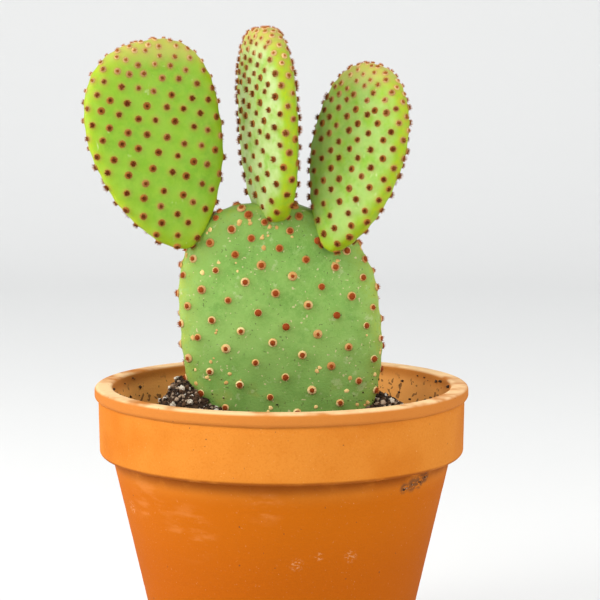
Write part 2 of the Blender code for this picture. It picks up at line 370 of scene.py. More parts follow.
# Each mound is (centre x, centre y, spread x, spread y, height).
SOIL_MOUNDS = (
    (-40 * MM, 4 * MM, 7 * MM, 13 * MM, 18 * MM),
    (40 * MM, 4 * MM, 9 * MM, 14 * MM, 11.5 * MM),
    (-26 * MM, -9 * MM, 12 * MM, 8 * MM, 7 * MM),
)
SOIL_EDGE = inner_wall_radius(SOIL_TOP) - 0.15 * MM
SOIL_RINGS = 100
LOOSE_CRUMBS = 3400
MOUND_CRUMBS = 420
WALL_CRUMBS = 130
SMEAR_CRUMBS = 26
ROOT_FIBRES = 160
ROOT_RADIUS = 0.16 * MM
PEAT_WET = (0.016, 0.010, 0.007)
PEAT_DRY = (0.105, 0.055, 0.028)
PEAT_GRIT = (0.40, 0.30, 0.21)
WHITE_GRIT = (0.62, 0.57, 0.50)
chance = random.Random(7)


def soil_height(x, y):
    height = SOIL_TOP
    for centre_x, centre_y, spread_x, spread_y, rise in SOIL_MOUNDS:
        away = ((x - centre_x) / spread_x) ** 2 + ((y - centre_y) / spread_y) ** 2
        height += rise * math.exp(-away / 2)
    return height


def crust(x, y):
    """The crust's own relief: clods, crumbs and grit, one on another."""
    here = Vector((x, y, 0))
    clods = 1.3 * noise.noise(here * 130)
    crumbs = 0.9 * abs(noise.noise(here * 420 + Vector((3, 0, 0))))
    grit = 0.35 * noise.noise(here * 1300)
    return (clods + crumbs + grit) * MM


def crumb_finish():
    """Each crumb has its own dryness: 0 is wet peat, 0.5 dry peat, 1 pale grit, and 1.4 crushed perlite."""
    finish, shader = new_finish("potting_soil", 0.95, Specular_IOR_Level=0.2)
    dryness = add_node(finish, "Attribute", {}, attribute_name="dryness").outputs["Fac"]
    colour = tint(finish, ramp(finish, dryness, 0.0, 0.6), PEAT_WET, PEAT_DRY)
    colour = tint(finish, ramp(finish, dryness, 0.55, 1.0), colour, PEAT_GRIT)
    colour = tint(finish, times(finish, clouds(finish, 1.4 * MM, 0.4, 0.7, 4), 0.4), colour, PEAT_DRY)
    colour = tint(finish, ramp(finish, dryness, 1.1, 1.3), colour, WHITE_GRIT)
    wire(finish, colour, shader.inputs["Base Color"])
    add_relief(finish, shader, clouds(finish, 0.6 * MM, 0.2, 0.8, 4), 0.25 * MM, 0.9)
    return finish


def new_crumbs():
    bm = bmesh.new()
    bm.verts.layers.float.new("dryness")
    return bm


def rough_ball():
    """A crumb one unit across, lumpy by chance."""
    bm = new_crumbs()
    for vert in bmesh.ops.create_icosphere(bm, subdivisions=1, radius=0.5)["verts"]:
        vert.co *= chance.uniform(0.65, 1.3)
    mesh = bpy.data.meshes.new("rough_ball")
    bm.to_mesh(mesh)
    bm.free()
    return mesh


def drop_crumb(bm, place, across, dryness):
    """Sets down one crumb, flattened and turned at random."""
    turn = Matrix.Rotation(chance.uniform(0, 2 * math.pi), 4, "Z")
    tilt = Matrix.Rotation(chance.uniform(-0.8, 0.8), 4, "X")
    narrow = chance.uniform(0.6, 1)
    low = chance.uniform(0.5, 0.9)
    shape = Matrix.Diagonal((across, across * narrow, across * low, 1))
    crumb = chance.choice(ROUGH_BALLS).copy()
    crumb.transform(Matrix.Translation(place) @ turn @ tilt @ shape)
    crumb.attributes["dryness"].data.foreach_set("value", [dryness] * len(crumb.vertices))
    bm.from_mesh(crumb)
    bpy.data.meshes.remove(crumb)


# How dry each crumb may be; a number that comes up more often is a commoner kind.
CRUMB_KINDS = (0.0, 0.0, 0.0, 0.1, 0.1, 0.2, 0.2, 0.3, 0.3, 0.45, 0.5, 0.7, 0.75, 0.95, 0.95, 1.4)
MOUND_KINDS = (0.0, 0.0, 0.0, 0.1, 0.2, 0.3, 0.5, 0.75, 0.95, 0.95, 1.05, 1.4)
ROUGH_BALLS = [rough_ball() for number in range(12)]
potting_soil = crumb_finish()
soil_foot = FLOOR_THICKNESS + 0.3 * MM
soil_outline = [(SOIL_EDGE * i / SOIL_RINGS, SOIL_TOP) for i in range(SOIL_RINGS + 1)]
for z in (SOIL_TOP - 6 * MM, SOIL_TOP / 2, soil_foot + 5 * MM):
    soil_outline.append((inner_wall_radius(z) - 0.3 * MM, z))
soil_outline += [(inner_wall_radius(FLOOR_THICKNESS) - 4 * MM, soil_foot), (0, soil_foot)]
bm = new_crumbs()
dryness_layer = bm.verts.layers.float["dryness"]
turn_on_wheel(bm, soil_outline, closed=False)
for vert in bm.verts:
    if vert.co.z > SOIL_TOP - 1 * MM:
        calm_edge = 0.4 + 0.6 * min(1.0, (SOIL_EDGE - vert.co.xy.length) / (2 * MM))
        vert.co.z = soil_height(vert.co.x, vert.co.y) + calm_edge * crust(vert.co.x, vert.co.y)
        vert[dryness_layer] = 0.2 + 0.3 * noise.noise(vert.co * 240)
set_down(bm, "soil_surface", potting_soil, "potting_soil", "soil")

bm = new_crumbs()
for number in range(LOOSE_CRUMBS):
    reach = (SOIL_EDGE - 1.5 * MM) * math.sqrt(chance.random())
    angle = chance.uniform(0, 2 * math.pi)
    x, y = reach * math.cos(angle), reach * math.sin(angle)
    across = (0.8 + 2.6 * chance.random() ** 3) * MM
    lift = 0.25 * across + 0.6 * max(0.0, crust(x, y))
    dryness = chance.choice(CRUMB_KINDS)
    drop_crumb(bm, Vector((x, y, soil_height(x, y) + lift)), across, dryness)
for centre_x, centre_y, spread_x, spread_y, rise in SOIL_MOUNDS:
    for number in range(MOUND_CRUMBS):
        x = centre_x + chance.gauss(0, 1.1 * spread_x)
        y = centre_y + chance.gauss(0, 0.9 * spread_y)
        if math.hypot(x, y) < SOIL_EDGE - 2 * MM:
            across = (1.0 + 2.2 * chance.random() ** 2) * MM
            place = Vector((x, y, soil_height(x, y) + 0.3 * across))
            drop_crumb(bm, place, across, chance.choice(MOUND_KINDS))
set_down(bm, "soil_crumbs", potting_soil, "potting_soil")

# Crumbs dried onto the clay: thickest low down at the two sides of the mouth, and in the smear.
bm = new_crumbs()
for number in range(WALL_CRUMBS):
    side = chance.choice((0, 180)) if number % 3 else chance.uniform(0, 360)
    angle = math.radians(side + chance.gauss(0, 38))
    z = SOIL_TOP + 16.5 * MM * chance.random() ** 1.4
    wall = inner_wall_radius(z) - 0.1 * MM
    across = (0.5 + 2.4 * chance.random() ** 2) * MM
    place = Vector((wall * math.cos(angle), wall * math.sin(angle), z))
    drop_crumb(bm, place, across, chance.uniform(0.1, 0.6))
for number in range(SMEAR_CRUMBS):
    centre, radius = chance.choice(SOIL_SMEAR)
    stray = Vector(chance.gauss(0, 0.2) * radius for axis in range(2))
    angle = math.degrees(math.atan2(centre.y, centre.x)) + math.degrees(stray.x / centre.xy.length)
    place = on_pot(angle, centre.z + 0.5 * stray.y)
    drop_crumb(bm, place, chance.uniform(0.4, 1.2) * MM, chance.choice((0.1, 0.2, 0.2, 0.9)))
set_down(bm, "wall_crumbs", potting_soil, "potting_soil")


def root_fibre(x, y, length):
    """A thin three-sided strand that curls along the surface."""
    heading = chance.uniform(0, 2 * math.pi)
    curl = chance.uniform(-1.6, 1.6)
    lift = chance.uniform(1.0, 2.0) * MM
    strand = new_crumbs()
    lying = Matrix.Rotation(math.pi / 2, 4, "Y")
    bmesh.ops.create_cone(
        strand,
        cap_ends=True,
        segments=3,
        radius1=ROOT_RADIUS,
        radius2=ROOT_RADIUS / 2,
        depth=length,
        matrix=lying,
    )
    long_edges = [edge for edge in strand.edges if edge.calc_length() > length / 2]
    bmesh.ops.subdivide_edges(strand, edges=long_edges, cuts=4)
    for vert in strand.verts:
        along = vert.co.x / length
        turn = heading + curl * along
        flat_x = x + along * length * math.cos(heading + curl * along / 2) - vert.co.y * math.sin(turn)
        flat_y = y + along * length * math.sin(heading + curl * along / 2) + vert.co.y * math.cos(turn)
        sag = 3 * MM * along * along
        vert.co = (flat_x, flat_y, soil_height(flat_x, flat_y) + lift + vert.co.z - sag)
        vert[strand.verts.layers.float["dryness"]] = 0.75
    mesh = bpy.data.meshes.new("root_fibre")
    strand.to_mesh(mesh)
    strand.free()
    return mesh


bm = new_crumbs()
for number in range(ROOT_FIBRES):
    reach = (SOIL_EDGE - 6 * MM) * math.sqrt(chance.random())
    angle = chance.uniform(0, 2 * math.pi)
    fibre = root_fibre(reach * math.cos(angle), reach * math.sin(angle), chance.uniform(3, 9) * MM)
    bm.from_mesh(fibre)
    bpy.data.meshes.remove(fibre)
set_down(bm, "root_fibres", potting_soil, "potting_soil")


# ---------------------------------------------------------------- perlite and bark
# Twelve grains of perlite, popped volcanic glass that is white and pitted, and eight chips of pine bark
# lie loose on the soil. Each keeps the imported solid's place, size and turn, and gets a broken surface.


def crumbled(name, rough, cuts):
    """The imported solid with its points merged, its faces cut finer, and its surface broken up by noise."""
    bm = bmesh.new()
    bm.from_mesh(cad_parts[name].data)
    bmesh.ops.remove_doubles(bm, verts=bm.verts, dist=0.01 * MM)
    bmesh.ops.subdivide_edges(bm, edges=bm.edges, cuts=cuts, use_grid_fill=True, smooth=0.4)
    bm.normal_update()
    moves = [vert.normal * (rough * noise.noise(vert.co * 1100) - 0.3 * rough) for vert in bm.verts]
    for vert, move in zip(bm.verts, moves):
        vert.co += move
    bmesh.ops.triangulate(bm, faces=bm.faces)
    return bm


def perlite_finish():
    finish, shader = new_finish("perlite", 0.9, Specular_IOR_Level=0.3)
    pits = clouds(finish, 0.7 * MM, 0.45, 0.62, 4)
    wire(finish, tint(finish, pits, (0.66, 0.60, 0.50), (0.34, 0.28, 0.20)), shader.inputs["Base Color"])
    add_relief(finish, shader, clouds(finish, 0.4 * MM, 0.3, 0.7), 0.2 * MM, 0.8)
    return finish


def bark_finish():
    finish, shader = new_finish("bark", 0.9, Specular_IOR_Level=0.25)
    layers = clouds(finish, 1.6 * MM, 0.35, 0.7, 4, (0.5, 0.5, 2.5))
    colour = tint(finish, layers, (0.05, 0.026, 0.014), (0.20, 0.105, 0.055))
    wire(finish, colour, shader.inputs["Base Color"])
    add_relief(finish, shader, layers, 0.3 * MM, 0.9)
    return finish


perlite_white = perlite_finish()
pine_bark = bark_finish()
for name in sorted(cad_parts):
    if name.startswith("perlite_grain_"):
        set_down(crumbled(name, 0.8 * MM, 1), f"{name}_pitted", perlite_white, "perlite", name)
    elif name.startswith("bark_chip_"):
        set_down(crumbled(name, 0.7 * MM, 4), f"{name}_split", pine_bark, "bark", name)


# ---------------------------------------------------------------- old pad
# The old pad carries the plant. It is a stem flattened like a paddle, thick and firm, with a waxy skin that
# swells under each areole. It stands upright with its foot in the soil.

PAD_SECTION = 2.4  # power of a pad's cross section: 2 is an ellipse, and more makes a blunter edge
RIM_BLUNTNESS = 0.5  # a pad's thickness follows its width to this power, so the rim stays rounded
SKIN_SEGMENTS = 200
SKIN_RINGS = 140
GOLDEN = (math.sqrt(5) - 1) / 2
AREOLE_STRAY = 0.45 * MM
SOIL_CLEARANCE = 1.5 * MM
PAD_CLEARANCE = 1.0 * MM

OLD_PAD_WIDTH = 80 * MM
OLD_PAD_THICKNESS = 20 * MM
OLD_PAD_FOOT = Vector((1.5, 0, 100.6)) * MM
OLD_PAD_LENGTH = 107.4 * MM
OLD_PAD_WIDEST = 60 * MM / OLD_PAD_LENGTH
OLD_PAD_SQUARENESS = 2.5
OLD_PAD_LEAN = -6.5 * MM


def signed_power(value, power):
    return math.copysign(abs(value) ** power, value)


def old_pad_fullness(share):
    if share < OLD_PAD_WIDEST:
        reach = (OLD_PAD_WIDEST - share) / OLD_PAD_WIDEST
    else:
        reach = (share - OLD_PAD_WIDEST) / (1 - OLD_PAD_WIDEST)
    return max(0.0, 1 - reach**OLD_PAD_SQUARENESS) ** (1 / OLD_PAD_SQUARENESS)


def old_pad_point(rise, angle):
    """A point on the pad's skin, from how far up it is (0 to 1, close together at the ends) and its angle."""
    share = (1 - math.cos(math.pi * rise)) / 2
    fullness = old_pad_fullness(share)
    across = OLD_PAD_WIDTH / 2 * fullness * signed_power(math.cos(angle), 2 / PAD_SECTION)
    through = OLD_PAD_THICKNESS / 2 * fullness**RIM_BLUNTNESS
    through *= signed_power(math.sin(angle), 2 / PAD_SECTION)
    if rise in (0, 1):
        across = through = 0
    return OLD_PAD_FOOT + Vector((across + OLD_PAD_LEAN * share**2, through, OLD_PAD_LENGTH * share))


def bare_skin(skin_point):
    """A pad's smooth skin: a ball whose rings take the pad's width and thickness at their height.

    It keeps how near each point is to the pad's rim, for the finish to read.
    """
    bm = bmesh.new()
    bmesh.ops.create_uvsphere(bm, u_segments=SKIN_SEGMENTS, v_segments=SKIN_RINGS, radius=1)
    rim_layer = bm.verts.layers.float.new("rim")
    for vert in bm.verts:
        vert[rim_layer] = 1 - abs(vert.co.y) ** 0.7
        rise = 1 - math.acos(max(-1.0, min(1.0, vert.co.z))) / math.pi
        if vert.co.xy.length < 0.001:
            rise = round(rise)
        vert.co = skin_point(rise, math.atan2(vert.co.y, vert.co.x))
    bmesh.ops.recalc_face_normals(bm, faces=bm.faces)
    bm.normal_update()
    return bm


def seat_areoles(skin_point, count, tip_crowding, rim_crowding):
    """Seats a pad's areoles where they grow: on a spiral, each a golden turn on from the last.

    They are even over the skin, but closer together along the rim and towards the tip.
    """
    rings, columns = 120, 160
    angles = [2 * math.pi * j / columns for j in range(columns)]
    grid = [[skin_point((i + 0.5) / rings, angle) for angle in angles] for i in range(rings)]
    rim_weights = [1 + rim_crowding * abs(math.cos(angle)) ** 8 for angle in angles]
    girths = []
    for ring in grid:
        chords = [math.dist(a, b) * w for a, b, w in zip(ring, ring[1:] + ring[:1], rim_weights)]
        girths.append([0, *accumulate(chords)])
    steps = [sum(map(math.dist, low, high)) / columns for low, high in zip(grid, grid[1:])]
    tip_weights = [1 + tip_crowding * ((i + 1) / rings) ** 4 for i in range(rings - 1)]
    bands = [step * girth[-1] * w for step, girth, w in zip(steps, girths, tip_weights)]
    skin_so_far = [0, *accumulate(bands)]
    seats = []
    for number in range(count):
        wanted = (number + 0.5) / count * skin_so_far[-1]
        i = min(bisect_right(skin_so_far, wanted) - 1, rings - 2)
        part = (wanted - skin_so_far[i]) / (skin_so_far[i + 1] - skin_so_far[i])
        girth = girths[i]
        turn = (number * GOLDEN % 1) * girth[-1]
        j = min(bisect_right(girth, turn) - 1, columns - 1)
        angle = 2 * math.pi * (j + (turn - girth[j]) / (girth[j + 1] - girth[j])) / columns
        stray = Vector(chance.gauss(0, AREOLE_STRAY) for axis in range(3))
        seats.append(skin_point((i + 0.5 + part) / rings, angle) + stray)
    return seats


def keep_open_seats(seats, other_skins):
    """Drops the seats that are under the soil or inside another pad."""
    kept = []
    for seat in seats:
        if seat.z < soil_height(seat.x, seat.y) + SOIL_CLEARANCE and seat.xy.length < SOIL_EDGE:
            continue
        covered = False
        for skin in other_skins:
            nearest, normal = skin.find_nearest(seat)[:2]
            covered = covered or (seat - nearest).dot(normal) < PAD_CLEARANCE
        if not covered:
            kept.append(seat)
    return kept


def swell(bm, seats, swelling, spread, halo, unevenness):
    """Raises the skin under each areole, and keeps how near each point is to one for the finish to read."""
    tree = KDTree(len(seats))
    for index, seat in enumerate(seats):
        tree.insert(seat, index)
    tree.balance()
    near_layer = bm.verts.layers.float.new("near_areole")
    moves = []
    for vert in bm.verts:
        away = tree.find(vert.co)[2]
        uneven = unevenness * noise.noise(vert.co * 55) + 0.25 * unevenness * noise.noise(vert.co * 210)
        moves.append(vert.normal * (swelling * math.exp(-((away / spread) ** 2)) + uneven))
        vert[near_layer] = math.exp(-((away / halo) ** 4))
    for vert, move in zip(bm.verts, moves):
        vert.co += move


old_skin = bare_skin(old_pad_point)
old_skin_tree = BVHTree.FromBMesh(old_skin)


# ---------------------------------------------------------------- young pads
# Three young pads grew from the old pad's top edge, thinner and brighter green. Each turns its own way:
# the left one faces the front, and the other two show partly edge on.

# Each pad is (foot, tip, width, thickness, turn of its face in degrees, foot power, tip power, bow).
YOUNG_PADS = {
    "left_pad": ((-37.8, -6, 190.1), (-55.4, -8, 271.3), 54.4, 13, -17, 0.62, 0.37, -1.9),
    "middle_pad": ((-3.4, -3, 200.0), (-7.3, -3, 276.6), 44.7, 14, 66, 0.40, 0.35, 0.3),
    "right_pad": ((19.5, -11, 189.2), (36.3, -7, 262.6), 46, 13.5, 43, 0.66, 0.46, 1.8),
}
# How many areoles each pad has, and how much closer together they are at its tip.
YOUNG_AREOLES = {"left_pad": (222, 1.5), "middle_pad": (250, 4.0), "right_pad": (225, 2.4)}


def young_pad_points(foot, tip, width, thickness, turn, foot_power, tip_power, bow):
    """Gives the function that finds a point on this pad's skin."""
    foot = Vector(foot) * MM
    growth = Vector(tip) * MM - foot
    peak = foot_power / (foot_power + tip_power)
    most = peak**foot_power * (1 - peak) ** tip_power
    up = growth.normalized()
    right = Vector((math.cos(math.radians(turn)), -math.sin(math.radians(turn)), 0))
    right = (right - up * right.dot(up)).normalized()
    back = up.cross(right)

    def skin_point(rise, angle):
        share = (1 - math.cos(math.pi * rise)) / 2
        fullness = share**foot_power * (1 - share) ** tip_power / most
        across = width / 2 * MM * fullness * signed_power(math.cos(angle), 2 / PAD_SECTION)
        through = thickness / 2 * MM * fullness**RIM_BLUNTNESS
        through *= signed_power(math.sin(angle), 2 / PAD_SECTION)
        if rise in (0, 1):
            across = through = 0
        middle = bow * MM * 4 * share * (1 - share)
        return foot + right * (across + middle) + back * through + growth * share

    return skin_point


young_points = {name: young_pad_points(*shape) for name, shape in YOUNG_PADS.items()}
young_skins = {name: bare_skin(points) for name, points in young_points.items()}
young_skin_trees = {name: BVHTree.FromBMesh(bm) for name, bm in young_skins.items()}


def pad_skin_finish(name, green, pale, deep, rim_green_and_light, halo, near_strength, roughness):
    """A waxy green skin: cloudy greens, a yellower rim that is partly its own colour and partly painted
    light, a fine pale grain, and a stain round each areole.
    """
    finish, shader = new_finish(name, roughness, Specular_IOR_Level=0.22)
    near = add_node(finish, "Attribute", {}, attribute_name="near_areole").outputs["Fac"]
    rim = add_node(finish, "Attribute", {}, attribute_name="rim").outputs["Fac"]
    colour = tint(finish, clouds(finish, 26 * MM, 0.35, 0.68), green, pale)
    colour = tint(finish, times(finish, clouds(finish, 11 * MM, 0.45, 0.75), 0.6), colour, deep)
    colour = tint(finish, ramp(finish, rim, 0.15, 0.8), colour, rim_green_and_light)
    colour = tint(finish, times(finish, clouds(finish, 2.4 * MM, 0.42, 0.62, 6), 0.6), colour, pale)
    colour = tint(finish, times(finish, clouds(finish, 0.6 * MM, 0.45, 0.7), 0.45), colour, pale)
    colour = tint(finish, times(finish, near, near_strength), colour, halo)
    return finish, shader, colour


def young_skin_finish(name, dust_and_sheen, tip_height):
    finish, shader, colour = pad_skin_finish(
        name,
        green=(0.165, 0.365, 0.012),
        pale=(0.235, 0.42, 0.020),
        deep=(0.120, 0.30, 0.006),
        rim_green_and_light=(0.34, 0.45, 0.003),
        halo=(0.44, 0.24, 0.045),
        near_strength=0.55,
        roughness=0.5,
    )
    rim = add_node(finish, "Attribute", {}, attribute_name="rim").outputs["Fac"]
    # Pale dust on the faces: partly waxy bloom, partly a painted sheen of glancing light.
    dusty_sheen = times(finish, ramp(finish, rim, 0.62, 0.3), clouds(finish, 7 * MM, 0.25, 0.65, 6))
    colour = tint(finish, times(finish, dusty_sheen, dust_and_sheen), colour, (0.46, 0.56, 0.25))
    # The skin between the crowded new areoles at the tip is flushed tan.
    flush = height_share(finish, tip_height - 11 * MM, tip_height - 2 * MM)
    colour = tint(finish, times(finish, flush, 0.5), colour, (0.52, 0.42, 0.12))
    scratches = clouds(finish, 2.4 * MM, 0.62, 0.70, 5, (1, 1, 0.5))
    scratched = times(finish, scratches, clouds(finish, 22 * MM, 0.5, 0.62))
    colour = tint(finish, times(finish, scratched, 0.6), colour, (0.52, 0.60, 0.28))
    wire(finish, colour, shader.inputs["Base Color"])
    add_relief(finish, shader, clouds(finish, 0.6 * MM, 0.2, 0.8, 3), 0.08 * MM, 0.5)
    return finish


AREOLE_VARIETIES = 6
AREOLE_SIZES = (0.85, 1.15)
# How much pale waxy dust, partly real bloom and partly a painted sheen of glancing light, each pad shows on
# its two faces.
YOUNG_DUST_AND_SHEEN = {"left_pad": 0.05, "middle_pad": 0.85, "right_pad": 0.35}


def felt_cushion(bm, radius, height, segments=8, rings=4):
    """The woolly cushion of an areole, a low dome."""
    flat = Matrix.Diagonal((1, 1, height / radius, 1))
    bmesh.ops.create_uvsphere(bm, u_segments=segments, v_segments=rings, radius=radius, matrix=flat)


def bristle_bunch(bm, count, spread, length, thickness, lean):
    """Barbed bristles, fine as hairs, fanned out from the middle of an areole."""
    along_layer = bm.verts.layers.float["along"]
    for number in range(count):
        out = math.sqrt((number + 0.5) / count)
        angle = number * 2 * math.pi * GOLDEN + chance.uniform(-0.3, 0.3)
        long = length * chance.uniform(0.75, 1.15) * (1 - 0.3 * out)
        root = Vector((spread * out * math.cos(angle), spread * out * math.sin(angle), 0))
        sideways = Vector((-root.y, root.x, 0))
        leaning = Matrix.Rotation(lean * out * chance.uniform(0.7, 1.2), 4, sideways)
        seat = Matrix.Translation(root) @ leaning @ Matrix.Translation((0, 0, long / 2))
        made = bmesh.ops.create_cone(
            bm, cap_ends=True, segments=3, radius1=thickness, radius2=0.15 * thickness, depth=long
        )["verts"]
        for vert in made:
            vert[along_layer] = 1.0 if vert.co.z > 0 else 0.0
        bmesh.ops.transform(bm, matrix=seat, verts=made)


def varieties(make):
    """A few areoles that differ by chance, made in millimetres."""
    made = []
    for number in range(AREOLE_VARIETIES):
        bm = bmesh.new()
        bm.verts.layers.float.new("along")
        bm.verts.layers.float.new("fresh")
        make(bm)
        mesh = bpy.data.meshes.new("areole_master")
        bm.to_mesh(mesh)
        bm.free()
        made.append(mesh)
    return made


def areole_freshness(bm, skin_tree, seats, old_rise, new_rise, chanciness):
    """How new each areole is, from 0 to 1: the newest are over the pad's tip and along the rim beside it."""
    bm.faces.ensure_lookup_table()
    rim_layer = bm.verts.layers.float["rim"]
    foot = min(vert.co.z for vert in bm.verts)
    height = max(vert.co.z for vert in bm.verts) - foot
    freshness = []
    for seat in seats:
        nearest_face = bm.faces[skin_tree.find_nearest(seat)[2]]
        rim = nearest_face.verts[0][rim_layer]
        rise = (seat.z - foot) / height
        beside_tip = min(1.0, max(0.0, (rim - 0.4) / 0.35)) * (rise - 0.35) / 0.5
        fresh = max(beside_tip, (rise - old_rise) / (new_rise - old_rise)) + chance.gauss(0, chanciness)
        freshness.append(min(1.0, max(0.0, fresh)))
    return freshness


def plant_on_skin(masters, seats, freshness, skin_tree, sizes, sink, fresh_size=1.0):
    """Sets one areole piece on each seat, square to the skin and sunk into it, in one bmesh."""
    bm = bmesh.new()
    for seat, fresh in zip(seats, freshness):
        nearest, normal = skin_tree.find_nearest(seat)[:2]
        size = MM * chance.uniform(*sizes) * (1 + (fresh_size - 1) * fresh)
        upright = Vector((0, 0, 1)).rotation_difference(normal).to_matrix().to_4x4()
        turn = Matrix.Rotation(chance.uniform(0, 2 * math.pi), 4, "Z")
        place = Matrix.Translation(nearest - normal * sink) @ upright @ turn @ Matrix.Scale(size, 4)
        copy = chance.choice(masters).copy()
        copy.transform(place)
        copy.attributes["fresh"].data.foreach_set("value", [fresh] * len(copy.vertices))
        bm.from_mesh(copy)
        bpy.data.meshes.remove(copy)
    return bm


def felt_finish(name, pale, deep, fresh_felt):
    finish, shader = new_finish(name, 0.95, Specular_IOR_Level=0.1, Sheen_Weight=0.15, Sheen_Roughness=0.5)
    shader.inputs["Sheen Tint"].default_value = (1.0, 0.8, 0.5, 1)
    fresh = add_node(finish, "Attribute", {}, attribute_name="fresh").outputs["Fac"]
    colour = tint(finish, clouds(finish, 4 * MM, 0.35, 0.65), pale, deep)
    wire(finish, tint(finish, fresh, colour, fresh_felt), shader.inputs["Base Color"])
    add_relief(finish, shader, clouds(finish, 0.3 * MM, 0.2, 0.8), 0.2 * MM, 0.9)
    return finish


def bristle_finish(name, root, tip, fresh_root):
    finish, shader = new_finish(name, 0.7, Specular_IOR_Level=0.1)
    along = add_node(finish, "Attribute", {}, attribute_name="along").outputs["Fac"]
    fresh = add_node(finish, "Attribute", {}, attribute_name="fresh").outputs["Fac"]
    colour = tint(finish, fresh, root, fresh_root)
    reach = times(finish, ramp(finish, along, 0.1, 1.0), clouds(finish, 5 * MM, 0.1, 0.6))
    wire(finish, tint(finish, reach, colour, tip), shader.inputs["Base Color"])
    return finish


def young_cushion(bm):
    felt_cushion(bm, 1.4, 0.45)


def young_bristles(bm):
    flat = Matrix.Diagonal((1, 1, 0.8, 1))
    bmesh.ops.create_icosphere(bm, subdivisions=1, radius=0.85, matrix=flat)
    bristle_bunch(bm, count=32, spread=1.0, length=1.55, thickness=0.12, lean=0.6)


young_felt = felt_finish(
    "young_areole_felt",
    pale=(0.44, 0.17, 0.030),
    deep=(0.32, 0.11, 0.016),
    fresh_felt=(0.76, 0.50, 0.22),
)
young_bristle = bristle_finish(
    "young_glochids",
    root=(0.11, 0.020, 0.003),
    tip=(0.50, 0.17, 0.03),
    fresh_root=(0.46, 0.15, 0.025),
)
young_cushions = varieties(young_cushion)
young_bunches = varieties(young_bristles)

for name, bm in young_skins.items():
    others = [tree for other, tree in young_skin_trees.items() if other != name]
    others.append(old_skin_tree)
    seats = keep_open_seats(seat_areoles(young_points[name], *YOUNG_AREOLES[name], 0.5), others)
    swell(bm, seats, swelling=0.42 * MM, spread=2.2 * MM, halo=1.9 * MM, unevenness=0.35 * MM)
    tree = BVHTree.FromBMesh(bm)
    freshness = areole_freshness(bm, tree, seats, old_rise=0.72, new_rise=0.96, chanciness=0.12)
    tip_height = YOUNG_PADS[name][1][2] * MM
    green = young_skin_finish(f"{name}_green", YOUNG_DUST_AND_SHEEN[name], tip_height)
    set_down(bm, f"{name}_skin", green, "young_pad_skin", name)
    cushions = plant_on_skin(young_cushions, seats, freshness, tree, AREOLE_SIZES, 0.1 * MM, 0.8)
    set_down(cushions, f"{name}_areoles", young_felt, "young_pad_skin")
    bunches = plant_on_skin(young_bunches, seats, freshness, tree, AREOLE_SIZES, -0.1 * MM, 0.65)
    set_down(bunches, f"{name}_glochids", young_bristle, "young_pad_skin")


# ---------------------------------------------------------------- old pad's skin and areoles
# The old pad's skin is duller and bluer than the young ones', with corky flecks and a yellowed foot. Its
# areoles have aged: a ring of pale wool round a bunch of short red-brown bristles.

OLD_AREOLES = 190
TOP_SCARS = 60
LOW_SCARS = 50
FOOT_CRUMBS = 170


def old_skin_finish():
    finish, shader, colour = pad_skin_finish(
        "old_pad_skin",
        green=(0.160, 0.335, 0.058),
        pale=(0.24, 0.41, 0.095),
        deep=(0.120, 0.275, 0.045),
        rim_green_and_light=(0.34, 0.42, 0.045),
        halo=(0.20, 0.28, 0.05),
        near_strength=0.45,
        roughness=0.48,
    )
    foot = height_share(finish, 165 * MM, 125 * MM)
    colour = tint(finish, times(finish, foot, 0.55), colour, (0.13, 0.26, 0.055))
    # Painted shade darkens the pad's upper part, below the young pads.
    shoulder_shade = height_share(finish, 172 * MM, 200 * MM)
    colour = tint(finish, times(finish, shoulder_shade, 0.45), colour, (0.11, 0.25, 0.035))
    corky = times(finish, height_share(finish, 146 * MM, 126 * MM), clouds(finish, 14 * MM, 0.5, 0.7))
    colour = tint(finish, times(finish, corky, 0.7), colour, (0.29, 0.27, 0.05))
    scuffs = times(finish, clouds(finish, 5 * MM, 0.60, 0.68, 5), 0.3)
    colour = tint(finish, scuffs, colour, (0.50, 0.56, 0.30))
    flecks = times(finish, clouds(finish, 1.5 * MM, 0.70, 0.74, 1), 0.7)
    colour = tint(finish, flecks, colour, (0.60, 0.50, 0.28))
    specks = times(finish, clouds(finish, 1.1 * MM, 0.31, 0.27, 1), 0.6)
    colour = tint(finish, specks, colour, (0.06, 0.06, 0.02))
    wire(finish, colour, shader.inputs["Base Color"])
    add_relief(finish, shader, clouds(finish, 0.8 * MM, 0.2, 0.8, 3), 0.12 * MM, 0.8)
    return finish


def old_cushion(bm):
    felt_cushion(bm, 1.7, 0.75, segments=10)


def old_bristles(bm):
    core = 1.36 * chance.uniform(0.78, 1.05)
    flat = Matrix.Diagonal((1, 1, 0.6, 1))
    bmesh.ops.create_icosphere(bm, subdivisions=2, radius=core, matrix=flat)
    bristle_bunch(bm, count=20, spread=0.85 * core, length=1.5, thickness=0.16, lean=0.5)


def corky_scar(bm):
    """A low scab a millimetre or so across, longer than it is wide."""
    bmesh.ops.create_icosphere(bm, subdivisions=2, radius=0.5)
    for vert in bm.verts:
        vert.co.x *= 1.3
        vert.co *= 1 + 0.5 * noise.noise(vert.co * 2.5 + Vector((chance.uniform(0, 0.4), 0, 0)))
        vert.co.z *= 0.35


def scar_finish():
    finish, shader = new_finish("corky_scars", 0.9, Specular_IOR_Level=0.15)
    cork = tint(finish, clouds(finish, 6 * MM, 0.38, 0.62), (0.78, 0.56, 0.22), (0.52, 0.30, 0.09))
    wire(finish, cork, shader.inputs["Base Color"])
    return finish


